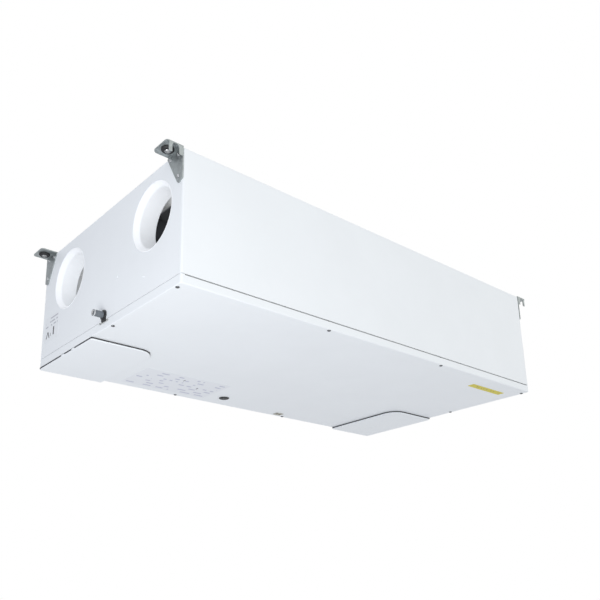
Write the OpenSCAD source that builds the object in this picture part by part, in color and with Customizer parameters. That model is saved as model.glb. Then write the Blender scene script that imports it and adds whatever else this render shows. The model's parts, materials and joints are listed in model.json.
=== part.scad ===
// Ceiling-hung heat recovery unit: two fans and a counterflow exchanger in a flat
// insulated casing. Every module is one physical piece. Millimetres, +Z up.
// The origin is the centre of the four ceiling bolts, on the ceiling plane.

/* [Casing] */
// Length of the casing over its end panels
case_l = 1120; // [1110:2:1150]
// Width of the casing
case_w = 600; // [596:1:606]
// Height from the roof to the face of the service cover
case_h = 280; // [279:1:283]
// Thickness of the casing's sheet steel
sheet = 1.2; // [0.8:0.1:1.4]
// Height of the service cover's turned-up rim
rim_h = 20; // [19:1:21]

/* [Ducts] */
// Radius of the bore that takes a 125 mm duct fitting
duct_r = 62.8; // [62:0.1:64]
// Distance of the near ducts from the middle plane
duct_near = 190; // [186:1:192]
// Distance of the far ducts from the middle plane
duct_far = 169; // [166:1:172]
// Depth of the duct centres below the roof
duct_drop = 97; // [95:1:100]

/* [Filter hatches] */
// Length of a hatch along the casing
hatch_l = 160; // [158:1:164]
// Width of a hatch across the casing
hatch_w = 260; // [259:1:262]
// Amount that a hatch stands below the service cover
hatch_proud = 6; // [5:0.5:8]
// Radius of a hatch's free corner
hatch_corner = 40; // [36:1:42]

/* [Hangers] */
// Distance from an end panel to the centre of a ceiling bolt
bolt_out = 20; // [19:0.5:21]
// Distance from a long side to the centre of a ceiling bolt
bolt_in = 25; // [24:0.5:26]
// Radius of a ceiling bolt's hole
bolt_r = 4.5; // [4:0.1:5]

/* [Fans] */
// Outer radius of an impeller
fan_r = 90; // [84:1:92]
// Number of blades of an impeller
fan_blades = 11; // [7:1:15]

/* [Hidden] */
$fn = 72;

// Levels, measured down from the ceiling plane
tab_t = 2.5;
grommet_lip = 2;
roof_z = -grommet_lip - tab_t;
cover_z = roof_z - case_h;
seam_z = cover_z + rim_h;
side_gap = 3;
duct_z = roof_z - duct_drop;
end_x = case_l / 2;
side_y = case_w / 2;

// Foam blocks
foam_end_t = 48.5;
foam_side_t = 26.5;
foam_roof_t = 26;
foam_top = roof_z - sheet - 0.2;
foam_ceiling = foam_top - foam_roof_t;
foam_floor = seam_z + sheet + 0.1;
foam_x = end_x - sheet - 0.2;
chamber_x = foam_x - foam_end_t;
foam_y = side_y - sheet - 0.2;
chamber_y = foam_y - foam_side_t;
divider_y = 15;

// Exchanger
core_tip = 240;
core_flat = 100;
core_half = 195;
core_top = foam_ceiling - 50;
core_floor = seam_z + 25;
core_pitch = 6;
core_layers = floor((core_top - core_floor - 6) / core_pitch);
core_stack = core_layers * core_pitch;
tray_x = 250;
tray_y = 194;
block_z = core_top + 2;

// Drain
drain_r = 7;
drain_y = -13;
drain_z = roof_z - 249;
drain_out = 26;

// Fans
fan_x = 365;
fan_y = -150;
scroll_r = 115;
scroll_top = roof_z - 51;
scroll_h = 95;
wall_t = 2.5;
shaft_r = 4;
fan_fit = 0.05;
eye_r = 60;

// Bypass damper, in a channel that runs along a 3-4-5 diagonal
bypass_turn = -atan2(3, 4);
bypass_at = -165;
bypass_w = 110;
bypass_floor = block_z + 8;
bypass_z = (bypass_floor + foam_ceiling) / 2;

// Hatches and filters
hatch_y0 = side_y - hatch_w;
open_in = 12;
open_x0 = end_x - open_in;
open_x1 = end_x - hatch_l + 8;
open_y0 = hatch_y0 + 6;
open_y1 = side_y - open_in;
open_r = 12;
filter_x = end_x - 136;
filter_t = 27;
filter_y0 = open_y0 + 13;
filter_w = 203;
filter_top = foam_ceiling - 8;
filter_floor = seam_z + 2.5;

// Controls
box_x = 108;
box_y0 = -chamber_y + 6;
box_y1 = -core_half - 9;
box_top = seam_z + 130;
gland_y = [-40, -75];
gland_z = roof_z - 246;
gland_r = 4.5;

// Fasteners
screw_r = 2;
screw_head_r = 4;
cover_screw_at = [for (s = [-1, 1]) each
    [[s * (end_x - 6), -side_y + 20], [s * (end_x - 6), -42],
     [s * 187, -side_y + 6], [s * 187, side_y - 6.5]]];
plug_at = [-65, 241];
plug_r = 11;

// A box between two corners
module block(x0, x1, y0, y1, z0, z1) {
    translate([x0, y0, z0]) cube([x1 - x0, y1 - y0, z1 - z0]);
}

// A round bar along X
module x_rod(r, x0, x1, y, z) {
    translate([x0, y, z]) rotate([0, 90, 0]) cylinder(r = r, h = x1 - x0);
}

// A round bar along Z between two levels
module z_rod(r, x, y, z0, z1) {
    translate([x, y, z0]) cylinder(r = r, h = z1 - z0);
}

// Pieces are drawn at the left end; the right end is its mirror image
module at_right() {
    mirror([1, 0, 0]) children();
}

// A flat rectangle with one rounded corner, at x1, y0
module one_round(x0, x1, y0, y1, r) {
    translate([x0, y0 + r]) square([x1 - x0, y1 - y0 - r]);
    translate([x0, y0]) square([x1 - x0 - r, r + 1]);
    translate([x1 - r, y0 + r]) circle(r = r);
}

// Roof and both long sides, folded from one sheet, with a lip for the cover's screws
module casing_shell() color("white") {
    lip = 14;
    difference() {
        block(-end_x, end_x, -side_y, side_y, seam_z, roof_z);
        block(-end_x - 1, end_x + 1, -side_y + sheet, side_y - sheet,
            seam_z + sheet, roof_z - sheet);
        block(-end_x - 1, end_x + 1, -side_y + lip, side_y - lip, seam_z - 1, seam_z + 2);
        for (at = cover_screw_at) z_rod(screw_r + 0.4, at[0], at[1], seam_z - 1, seam_z + 2);
    }
}

// One end of the casing, with a lip round its four edges
module end_panel_blank() {
    lip = 12;
    y1 = side_y - sheet;
    z1 = roof_z - sheet;
    difference() {
        block(-end_x, -end_x + lip, -y1, y1, seam_z + sheet, z1);
        block(-end_x + sheet, -end_x + lip + 1, -y1 + sheet, y1 - sheet,
            seam_z, z1 - sheet);
        for (y = [-duct_near, duct_far]) x_rod(duct_r + 10.4, -end_x - 1, -end_x + 9, y, duct_z);
    }
}

module end_panel_left() color("white") difference() {
    end_panel_blank();
    x_rod(drain_r + 0.4, -end_x - 1, -end_x + 9, drain_y, drain_z);
}

module end_panel_right() color("white") difference() {
    at_right() end_panel_blank();
    for (y = gland_y) x_rod(10.3, end_x - 9, end_x + 1, y, gland_z);
}

// Blind rivets that hold the foam's inner brackets to the end panels
module panel_rivets() color("gainsboro") {
    for (s = [-1, 1]) for (at = [[-62, -180], [-168, -220]])
        translate([s * end_x, at[0], roof_z + at[1]]) rotate([0, s * 90, 0])
            cylinder(r = 3, h = 1);
}

module foam_roof() color("whitesmoke") {
    block(-chamber_x + 0.2, chamber_x - 0.2, -foam_y, foam_y, foam_ceiling, foam_top);
}

module hexagon(tip, flat, half) {
    polygon([[-tip, 0], [-flat, -half], [flat, -half], [tip, 0], [flat, half], [-flat, half]]);
}

// Places a child in the bypass channel's own frame: X along it, Y across it
module in_bypass() {
    rotate([0, 0, bypass_turn]) children();
}

// Block over the exchanger, cut through by the bypass channel
module foam_bypass_block() color("whitesmoke") difference() {
    translate([0, 0, block_z])
        linear_extrude(foam_ceiling - block_z - 0.1) hexagon(core_tip, core_flat, core_half);
    in_bypass() {
        block(-300, 300, -bypass_w / 2, bypass_w / 2, bypass_floor, foam_ceiling + 1);
        block(bypass_at - 21, bypass_at + 21, -117, -73, bypass_floor, foam_ceiling + 1);
        translate([bypass_at, -74, bypass_z]) rotate([-90, 0, 0]) cylinder(r = 8.2, h = 148);
    }
}

module foam_end_blank() difference() {
    block(-foam_x, -chamber_x, -foam_y, foam_y, foam_floor, foam_top);
    for (y = [-duct_near, duct_far]) x_rod(duct_r + 17.4, -foam_x - 1, -chamber_x + 1, y, duct_z);
    block(-foam_x - 1, -foam_x + 11.5, -foam_y - 1, -foam_y + sheet + 0.2, foam_floor - 1, 0);
    block(-foam_x - 1, -foam_x + 11.5, foam_y - sheet - 0.2, foam_y + 1, foam_floor - 1, 0);
    block(-foam_x - 1, -foam_x + 11.5, -foam_y - 1, foam_y + 1, foam_top - sheet - 0.2, 0);
}

module foam_end_left() color("whitesmoke") difference() {
    foam_end_blank();
    x_rod(drain_r + 0.4, -foam_x - 1, -chamber_x + 1, drain_y, drain_z);
}

module foam_end_right() color("whitesmoke") difference() {
    at_right() foam_end_blank();
    for (y = gland_y) x_rod(10.3, chamber_x - 1, foam_x + 1, y, gland_z);
}

module foam_wall(s) color("whitesmoke") {
    y0 = chamber_y + 0.2;
    x1 = chamber_x - 0.2;
    translate([0, s < 0 ? -foam_y - y0 : 0, 0])
        block(-x1, x1, y0, foam_y, foam_floor, foam_ceiling - 0.1);
}

module foam_wall_near() foam_wall(-1);
module foam_wall_far() foam_wall(1);

module foam_divider_blank() {
    block(-chamber_x + 0.2, -tray_x - 1, -divider_y, divider_y, foam_floor, foam_ceiling - 0.1);
}

module foam_divider_left() color("whitesmoke") difference() {
    foam_divider_blank();
    block(-chamber_x - 1, -tray_x, -divider_y - 1, drain_y + drain_r + 0.4, foam_floor - 1,
        drain_z + drain_r + 0.4);
}

module foam_divider_right() color("whitesmoke") at_right() foam_divider_blank();

// Foam between the exchanger and the near side, with a pocket for the controls
module foam_core_near() color("whitesmoke") difference() {
    block(-125, 125, -chamber_y, -core_half - 0.5, foam_floor, foam_ceiling - 0.1);
    block(-box_x - 1, box_x + 1, box_y0 - 1, box_y1 + 1, foam_floor - 1, box_top + 1);
    x_rod(5.6, box_x, 126, box_y0 + 20, gland_z);
}

module foam_core_far() color("whitesmoke") {
    block(-core_flat, core_flat, core_half + 0.5, chamber_y, foam_floor, foam_ceiling - 0.1);
}

// Socket with a bevelled mouth; y is its place across the end
module duct_socket(y) color("white") {
    r = duct_r;
    deep = foam_end_t;
    translate([-end_x + 0.2, y, duct_z]) rotate([0, 90, 0]) rotate_extrude()
        polygon([[r + 9, 0], [r + 10, 0.4], [r + 10, 4], [r + 17, 4], [r + 17, deep],
            [r, deep], [r, 12], [r + 1.2, 9]]);
}

module duct_socket_near_left() duct_socket(-duct_near);
module duct_socket_far_left() duct_socket(duct_far);
module duct_socket_near_right() at_right() duct_socket(-duct_near);
module duct_socket_far_right() at_right() duct_socket(duct_far);

// Folded hanger bracket: ceiling tab, roof flange, gusset on the end, and a side flange
// on the two brackets of the near side
module hanger(flanged) color("darkgray") {
    reach = bolt_out + 18;
    wide = bolt_in + 25;
    bend_t = 2;
    gusset_w = 54;
    gusset_h = 70;
    flange_h = 20;
    flange_in = 8;
    y0 = -side_y;
    difference() {
        union() {
            translate([0, 0, roof_z]) linear_extrude(tab_t) {
                translate([-end_x - reach + 9, y0]) square([reach - 9, wide]);
                translate([-end_x - 1, y0 + flange_in]) square([46, wide - flange_in]);
                translate([-end_x - reach, y0 + 6]) square([10, wide - 15]);
                translate([-end_x - reach + 6, y0]) square([4, 10]);
                translate([-end_x - reach + 6, y0 + 6]) circle(r = 6);
                translate([-end_x - reach + 9, y0 + wide - 9]) circle(r = 9);
            }
            translate([-end_x - bend_t, y0, roof_z]) rotate([90, 0, 90]) linear_extrude(bend_t)
                polygon([[0, tab_t], [gusset_w - 4, tab_t], [gusset_w, -2], [18, 2 - gusset_h],
                    [12, -gusset_h - 2], [0, 4 - gusset_h]]);
            if (flanged) translate([-end_x - reach, y0 + bend_t, roof_z]) rotate([90, 0, 0])
                linear_extrude(bend_t) difference() {
                    translate([6, -flange_h]) square([reach - 8, flange_h + 1]);
                    translate([13, -flange_h - 1]) square([15, 15]);
                    translate([20.5, 14 - flange_h]) circle(r = 7.5);
                }
        }
        z_rod(8.2, -end_x - bolt_out, y0 + bolt_in, roof_z - 1, 0);
        for (at = hanger_screw_at)
            x_rod(screw_r + 0.1, -end_x - 3, -end_x + 1, y0 + at[0], roof_z + at[1]);
    }
}

hanger_screw_at = [[15, -9], [42, -9], [14, -56]];

module each_corner() {
    for (mx = [0, 1]) for (my = [0, 1]) mirror([mx, 0, 0]) mirror([0, my, 0]) children();
}

module hanger_near_left() hanger(true);
module hanger_far_left() mirror([0, 1, 0]) hanger(false);
module hanger_near_right() at_right() hanger(true);
module hanger_far_right() at_right() mirror([0, 1, 0]) hanger(false);

// Rubber rings that keep vibration out of the ceiling
module hanger_grommets() color("black") each_corner()
    translate([-end_x - bolt_out, -side_y + bolt_in, 0]) rotate_extrude()
        polygon([[6.1, 0], [12, 0], [13, -grommet_lip], [8, -grommet_lip], [8, roof_z],
            [13, roof_z], [13, roof_z - 3], [11.5, roof_z - 4.5], [6.1, roof_z - 4.5]]);

module hanger_sleeves() color("silver") each_corner()
    translate([-end_x - bolt_out, -side_y + bolt_in, 0]) difference() {
        translate([0, 0, roof_z - 5.5]) cylinder(r = 6, h = 5.5 - roof_z);
        translate([0, 0, roof_z - 7]) cylinder(r = bolt_r, h = 12);
    }

module hanger_screws() color("silver") each_corner() for (at = hanger_screw_at)
    translate([-end_x - 2, -side_y + at[0], roof_z + at[1]]) rotate([0, -90, 0]) {
        cylinder(r = 3.6, h = 1.8);
        translate([0, 0, -1.9]) cylinder(r = screw_r, h = 2.5);
    }

// Plate stack of the counterflow exchanger
module exchanger_core() color("lightsteelblue") {
    translate([0, 0, core_floor + 3]) {
        linear_extrude(core_stack) hexagon(core_tip - 12, core_flat - 6, core_half - 8);
        for (k = [0 : core_layers - 1]) translate([0, 0, k * core_pitch])
            linear_extrude(core_pitch * 0.5) hexagon(core_tip - 4, core_flat - 2, core_half - 3);
    }
}

module exchanger_end_plates() color("dimgray") {
    translate([0, 0, core_floor]) linear_extrude(2.9) hexagon(core_tip, core_flat, core_half);
    translate([0, 0, core_floor + core_stack + 3.1])
        linear_extrude(2.4) hexagon(core_tip, core_flat, core_half);
}

module condensate_tray() color("black") {
    z0 = foam_floor + 0.2;
    deep = 18;
    difference() {
        block(-tray_x, tray_x, -tray_y, tray_y, z0, z0 + deep);
        block(-tray_x + 3, tray_x - 3, -tray_y + 3, tray_y - 3, z0 + 2.5, z0 + deep + 1);
        x_rod(drain_r - 2, -tray_x - 1, -tray_x + 9, drain_y, drain_z);
    }
}

// Hose spigot with a slimmer tail that runs in to the tray
module drain_spigot() color("gray") difference() {
    union() {
        x_rod(drain_r, -end_x - drain_out, -end_x - 4.1, drain_y, drain_z);
        x_rod(drain_r - 0.4, -end_x - 5, -tray_x - 0.1, drain_y, drain_z);
    }
    x_rod(drain_r - 2, -end_x - drain_out - 1, -tray_x + 1, drain_y, drain_z);
}

// Flange nut with a tab that reaches down to the cover's notch
module drain_nut() color("black") difference() {
    union() {
        x_rod(11, -end_x - 4, -end_x - 0.1, drain_y, drain_z);
        block(-end_x - 3, -end_x - 0.1, drain_y - 9, drain_y + 7, seam_z - 4, drain_z);
    }
    x_rod(drain_r - 0.3, -end_x - 5, -end_x + 1, drain_y, drain_z);
}

// Spiral housing of a fan: a round drum with a flat outlet towards the duct
module scroll_plan(inset) {
    translate([-fan_x, fan_y]) circle(r = scroll_r - inset);
    translate([-chamber_x + 0.2 - (inset > 0 ? 1 : 0), fan_y - scroll_r + inset])
        square([chamber_x - fan_x, 145 - 2 * inset]);
}

module fan_scroll_left() color("dimgray") difference() {
    translate([0, 0, scroll_top - scroll_h]) linear_extrude(scroll_h) scroll_plan(0);
    translate([0, 0, scroll_top - scroll_h + wall_t]) linear_extrude(scroll_h - 2 * wall_t)
        scroll_plan(wall_t);
    z_rod(eye_r + 6, -fan_x, fan_y, scroll_top - scroll_h - 1, scroll_top - scroll_h + 3);
    z_rod(shaft_r + 0.2, -fan_x, fan_y, scroll_top - 3, scroll_top + 1);
}

module fan_scroll_right() at_right() fan_scroll_left();

// Bell-mouthed inlet ring under a housing
module fan_inlet() {
    low = scroll_top - scroll_h;
    translate([-fan_x, fan_y, low]) rotate_extrude()
        polygon([[eye_r - 2, 9], [eye_r, 9], [eye_r + 5.8, 0], [eye_r + 16, -0.1],
            [eye_r + 16, -4], [eye_r + 5, -3.5], [eye_r, 2]]);
}

module fan_inlets() color("black") {
    fan_inlet();
    at_right() fan_inlet();
}

// Motor with its mounting disc and shaft
module fan_motor() {
    top = scroll_top - wall_t - 0.1;
    z_rod(34, -fan_x, fan_y, top - 5, top);
    z_rod(30, -fan_x, fan_y, top - 38, top - 4);
    z_rod(shaft_r, -fan_x, fan_y, top - 58, top - 37);
}

module fan_motors() color("silver") {
    fan_motor();
    at_right() fan_motor();
}

// One backward-curved blade, as an arc between two radii
module blade_plan() intersection() {
    difference() {
        circle(r = fan_r - 1);
        circle(r = eye_r);
    }
    translate([62, 34]) difference() {
        circle(r = 48);
        circle(r = 46.4);
        translate([-60, 0]) square([120, 60]);
        translate([-60, -60]) square([60, 120]);
    }
}

// External-rotor impeller: hub cup, back plate, blades and shroud ring
module impeller_left() color("black") {
    top = scroll_top - wall_t - 8;
    tall = 66;
    hub_r = 36;
    translate([-fan_x, fan_y, 0]) {
        difference() {
            union() {
                translate([0, 0, top - 3]) cylinder(r = fan_r, h = 3);
                translate([0, 0, top - 38]) cylinder(r = hub_r, h = 36);
                translate([0, 0, top - 48]) cylinder(r = 10, h = 12);
            }
            translate([0, 0, top - 34]) cylinder(r = hub_r - 4, h = 36);
            translate([0, 0, top - 50]) cylinder(r = shaft_r + fan_fit, h = 20);
        }
        for (k = [0 : fan_blades - 1]) rotate([0, 0, k * 360 / fan_blades])
            translate([0, 0, top - tall]) linear_extrude(tall - 2.5) blade_plan();
        translate([0, 0, top - tall - 2]) difference() {
            cylinder(r = fan_r, h = 2.5);
            translate([0, 0, -1]) cylinder(r = eye_r + 4, h = 5);
        }
    }
}

module impeller_right() at_right() impeller_left();

// Butterfly flap with its spindle
module bypass_flap() color("dimgray") in_bypass() translate([bypass_at, 0, bypass_z]) {
    tall = foam_ceiling - bypass_floor - 2;
    wide = bypass_w - 2;
    translate([-1.5, -wide / 2, -tall / 2]) cube([3, wide, tall]);
    translate([0, -80, 0]) rotate([-90, 0, 0]) cylinder(r = shaft_r, h = 151);
}

module bypass_bushes() color("ivory") in_bypass() for (y = [-71.5, 57])
    translate([bypass_at, y, bypass_z]) rotate([-90, 0, 0]) difference() {
        cylinder(r = 8, h = 14.5);
        translate([0, 0, -1]) cylinder(r = shaft_r + fan_fit, h = 20);
    }

// Damper motor on the spindle's end
module bypass_actuator() color("darkorange") in_bypass() difference() {
    block(bypass_at - 20, bypass_at + 20, -116, -74, bypass_floor + 0.5, foam_ceiling - 1);
    translate([bypass_at, -81, bypass_z]) rotate([-90, 0, 0])
        cylinder(r = shaft_r + fan_fit, h = 10);
}

module control_box() color("silver") difference() {
    block(-box_x, box_x, box_y0, box_y1, foam_floor + 0.5, box_top);
    block(-box_x + 1.2, box_x - 1.2, box_y0 + 1.2, box_y1 - 1.2, foam_floor + 1.7, box_top - 1.2);
    x_rod(5.4, box_x - 3, box_x + 1, box_y0 + 20, gland_z);
}

module circuit_board() color("darkgreen") {
    y = box_y0 + 6;
    z0 = foam_floor + 12;
    block(-95, 95, y, y + 1.6, z0, z0 + 98);
    block(-82, -42, y + 1.6, y + 28, z0 + 52, z0 + 90);
    for (k = [0 : 3]) translate([-18 + k * 15, y + 1.6, z0 + 76]) rotate([-90, 0, 0])
        cylinder(r = 6, h = 22);
    for (k = [0 : 2]) block(48 + k * 14, 59 + k * 14, y + 1.6, y + 16, z0 + 60, z0 + 88);
}

module terminal_block() color("seagreen") {
    y = box_y0 + 7.7;
    z0 = foam_floor + 18;
    for (k = [0 : 11]) block(-86 + k * 10, -77 + k * 10, y, y + 14, z0, z0 + 18);
}

// Hexagonal glands with a clamp nut
module cable_glands() color("dimgray") for (y = gland_y) difference() {
    union() {
        x_rod(10, chamber_x + 10, end_x + 4, y, gland_z);
        translate([end_x + 0.1, y, gland_z]) rotate([0, 90, 0]) cylinder(r = 13.8, h = 6, $fn = 6);
        x_rod(11, end_x + 5, end_x + 19, y, gland_z);
    }
    x_rod(gland_r, chamber_x, end_x + 30, y, gland_z);
}

// Lead inside the casing from the first gland to the control box
module cable_loom() color("black") {
    bend_1 = [300, gland_y[0], gland_z];
    bend_2 = [262, box_y0 + 20, gland_z];
    span = bend_2 - bend_1;
    lead_r = 4;
    x_rod(lead_r, bend_1[0], chamber_x + 9, gland_y[0], gland_z);
    translate(bend_1) sphere(r = lead_r + 0.4);
    translate(bend_1) rotate([0, 90, atan2(span[1], span[0])])
        cylinder(r = lead_r, h = norm(span));
    translate(bend_2) sphere(r = lead_r + 0.4);
    x_rod(lead_r, box_x - 2, bend_2[0], bend_2[1], gland_z);
}

module temperature_sensors() color("silver") {
    for (s = [-1, 1]) {
        z_rod(3, s * 200, -238, foam_ceiling - 46, foam_ceiling - 0.2);
        z_rod(3, s * 300, 200, foam_ceiling - 46, foam_ceiling - 0.2);
    }
}

// Plastic frame that the filter slides up into, open at its foot
module filter_guide_left() color("lightgray") {
    fx = -filter_x;
    difference() {
        block(fx - filter_t - 8, fx + 8, divider_y + 0.4, chamber_y - 0.2,
            foam_floor + 0.3, foam_ceiling - 0.2);
        block(fx - filter_t - 2, fx + 2, filter_y0 - 2, filter_y0 + filter_w + 2,
            foam_floor - 1, filter_top + 2);
        block(fx - filter_t - 9, fx + 9, filter_y0 + 12, filter_y0 + filter_w - 12,
            foam_floor - 1, filter_top - 12);
    }
}

module filter_guide_right() at_right() filter_guide_left();

// Framed panel filter with a pleated medium and a pull tab
module filter_left() color("lightblue") {
    fx = -filter_x;
    y1 = filter_y0 + filter_w;
    rail = 9;
    pleat = 14;
    n = floor((filter_w - 2 * rail) / pleat);
    difference() {
        block(fx - filter_t, fx, filter_y0, y1, filter_floor, filter_top);
        block(fx - filter_t - 1, fx + 1, filter_y0 + rail, y1 - rail,
            filter_floor + rail, filter_top - rail);
    }
    translate([fx - filter_t / 2, filter_y0 + filter_w / 2, filter_floor + rail - 1])
        linear_extrude(filter_top - filter_floor - 2 * rail + 2)
            polygon(concat(
                [for (k = [0 : n]) [(k % 2 == 0 ? -1 : 1) * 9 - 1.2, (k - n / 2) * pleat]],
                [for (k = [n : -1 : 0]) [(k % 2 == 0 ? -1 : 1) * 9 + 1.2, (k - n / 2) * pleat]]));
}

module filter_right() at_right() filter_left();

// Removable bottom tray with openings for the filters
module service_cover() color("white") difference() {
    block(-end_x, end_x, -side_y, side_y, cover_z, seam_z - 1);
    block(-end_x + sheet, end_x - sheet, -side_y + sheet, side_y - sheet, cover_z + sheet, 0);
    for (m = [0, 1]) mirror([m, 0, 0]) translate([0, 0, cover_z - 1]) linear_extrude(5)
        one_round(-open_x0, -open_x1, open_y0, open_y1, open_r);
    for (at = cover_screw_at) z_rod(screw_r + 0.2, at[0], at[1], cover_z - 1, cover_z + 5);
    z_rod(plug_r + 0.4, plug_at[0], plug_at[1], cover_z - 1, cover_z + 5);
    block(-end_x - 1, -end_x + 3, drain_y - 19, drain_y + 21, seam_z - 6, 0);
    for (m = [0, 1]) mirror([0, m, 0])
        block(-end_x + 4, end_x - 4, -side_y - 1, -side_y + 3, seam_z - side_gap, 0);
}

module cover_insulation() color("whitesmoke") difference() {
    x1 = end_x - 12;
    y1 = side_y - 12;
    block(-x1, x1, -y1, y1, cover_z + sheet + 0.1, seam_z - 1.5);
    for (m = [0, 1]) mirror([m, 0, 0]) translate([0, 0, cover_z]) linear_extrude(30)
        one_round(-x1 - 1, -open_x1, open_y0, y1 + 1, open_r);
    z_rod(plug_r + 4, plug_at[0], plug_at[1], cover_z, 0);
}

// Foam strip that seals the cover against the foam body
module cover_gasket() color("dimgray") {
    z0 = seam_z - 1.4;
    strip = 8;
    x1 = -open_x1;
    x2 = end_x - 16;
    y2 = side_y - 18;
    difference() {
        block(-x2, x2, -y2, y2, z0, z0 + 2.2);
        block(-x2 + strip, x2 - strip, -y2 + strip, y2 - strip, z0 - 1, z0 + 4);
        for (m = [0, 1]) mirror([m, 0, 0])
            block(-x2 - 1, x1 + 1, open_y0 - 1, y2 + 1, z0 - 1, z0 + 4);
    }
}

module cover_screws() color("dimgray") for (at = cover_screw_at) {
    z_rod(screw_head_r, at[0], at[1], cover_z - 1.6, cover_z);
    z_rod(screw_r, at[0], at[1], cover_z - 1, seam_z + 1);
}

// Blank rating label, yellow notice strip and the small edge clip
module cover_labels() color("gold") {
    block(-360, -112, 145, 275, cover_z - 0.3, cover_z);
    block(376, 513, -253, -233, cover_z - 0.3, cover_z);
    block(146, 172, 268, 288, cover_z - 1.2, cover_z);
}

module end_label() color("white") {
    block(-end_x - 0.3, -end_x, 211, 285, roof_z - 226, roof_z - 162);
}

module cover_plug() color("black") {
    z_rod(plug_r + 2.8, plug_at[0], plug_at[1], cover_z - 2.3, cover_z - 0.3);
    z_rod(plug_r, plug_at[0], plug_at[1], cover_z - 1, cover_z + 13);
}

// Shallow tray that closes a filter opening, with two hinge knuckles
module filter_hatch_left() color("white") {
    low = cover_z - hatch_proud;
    gap = 2;
    far = -end_x + hatch_l;
    difference() {
        translate([0, 0, low]) linear_extrude(hatch_proud - gap)
            one_round(-end_x, far, hatch_y0, side_y, hatch_corner);
        translate([0, 0, low + sheet]) linear_extrude(hatch_proud)
            one_round(-end_x + sheet, far - sheet, hatch_y0 + sheet, side_y - sheet,
                hatch_corner - sheet);
    }
    for (y = [118, 168]) translate([-end_x, y, cover_z - 2.4]) rotate([-90, 0, 0])
        cylinder(r = 1.4, h = 14);
}

module filter_hatch_right() at_right() filter_hatch_left();

// Insulating block glued into a hatch
module hatch_foam_left() color("whitesmoke") {
    translate([0, 0, cover_z - hatch_proud + sheet]) linear_extrude(hatch_proud + 14)
        one_round(-open_x0 + 3, -open_x1 - 3, open_y0 + 3, open_y1 - 3, open_r - 3);
}

module hatch_foam_right() at_right() hatch_foam_left();

casing_shell();
end_panel_left();
end_panel_right();
panel_rivets();
foam_roof();
foam_bypass_block();
foam_end_left();
foam_end_right();
foam_wall_near();
foam_wall_far();
foam_divider_left();
foam_divider_right();
foam_core_near();
foam_core_far();
duct_socket_near_left();
duct_socket_far_left();
duct_socket_near_right();
duct_socket_far_right();
hanger_near_left();
hanger_far_left();
hanger_near_right();
hanger_far_right();
hanger_grommets();
hanger_sleeves();
hanger_screws();
exchanger_core();
exchanger_end_plates();
condensate_tray();
drain_spigot();
drain_nut();
fan_scroll_left();
fan_scroll_right();
fan_inlets();
fan_motors();
impeller_left();
impeller_right();
bypass_flap();
bypass_actuator();
bypass_bushes();
control_box();
circuit_board();
terminal_block();
cable_glands();
cable_loom();
temperature_sensors();
filter_guide_left();
filter_guide_right();
service_cover();
cover_insulation();
cover_gasket();
cover_screws();
cover_labels();
cover_plug();
filter_hatch_left();
filter_hatch_right();
hatch_foam_left();
hatch_foam_right();
filter_left();
filter_right();
end_label();
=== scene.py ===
import json
import math

import bmesh
import bpy
from mathutils import Matrix, Vector
from mathutils.geometry import tessellate_polygon


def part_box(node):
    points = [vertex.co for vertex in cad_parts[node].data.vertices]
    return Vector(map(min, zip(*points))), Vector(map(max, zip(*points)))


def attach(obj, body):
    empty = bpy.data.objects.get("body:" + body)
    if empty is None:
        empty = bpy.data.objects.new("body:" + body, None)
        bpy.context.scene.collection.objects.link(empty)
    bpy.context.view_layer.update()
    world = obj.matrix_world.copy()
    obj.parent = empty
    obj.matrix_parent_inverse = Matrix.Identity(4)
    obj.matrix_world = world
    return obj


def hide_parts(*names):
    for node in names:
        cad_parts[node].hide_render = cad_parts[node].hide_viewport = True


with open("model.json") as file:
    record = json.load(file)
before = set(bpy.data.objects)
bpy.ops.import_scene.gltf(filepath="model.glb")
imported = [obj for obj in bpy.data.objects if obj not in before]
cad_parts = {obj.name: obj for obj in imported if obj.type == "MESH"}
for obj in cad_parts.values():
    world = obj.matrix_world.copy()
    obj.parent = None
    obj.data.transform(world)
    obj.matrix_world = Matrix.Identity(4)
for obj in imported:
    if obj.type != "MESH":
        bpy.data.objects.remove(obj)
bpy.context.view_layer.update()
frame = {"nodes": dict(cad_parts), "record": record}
nodes = frame["nodes"]
mounts = {m["name"]: m for m in frame["record"]["mounts"]}

MM = 0.001
SHEET = 1.2 * MM
ROOF_BEND = 2.0 * MM
SEAM = 0.35 * MM


# ---------------------------------------------------------------- mesh building

def finish_mesh(name, bm, material, body, smooth_angle=32):
    """Turns a bmesh into a piece that rides on a body, with smooth rounds and crisp edges."""
    bmesh.ops.remove_doubles(bm, verts=bm.verts, dist=1e-6)
    bmesh.ops.recalc_face_normals(bm, faces=bm.faces)
    mesh = bpy.data.meshes.new(name)
    bm.to_mesh(mesh)
    bm.free()
    for polygon in mesh.polygons:
        polygon.use_smooth = True
    mesh.set_sharp_from_angle(angle=math.radians(smooth_angle))
    piece = bpy.data.objects.new(name, mesh)
    bpy.context.scene.collection.objects.link(piece)
    mesh.materials.append(material)
    piece.modifiers.new("flat faces", "WEIGHTED_NORMAL").keep_sharp = True
    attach(piece, body)
    return piece


def stands_for(piece, *names, slot=None):
    """The piece is shown in place of CAD nodes, which it hides; slot is not used."""
    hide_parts(*names)


def soften(piece, width, segments=2, angle=35):
    """Rounds the sharp edges with a bevel modifier."""
    bevel = piece.modifiers.new("soft edges", "BEVEL")
    bevel.width = width
    bevel.segments = segments
    bevel.limit_method = "ANGLE"
    bevel.angle_limit = math.radians(angle)
    bevel.harden_normals = False
    return piece


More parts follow.
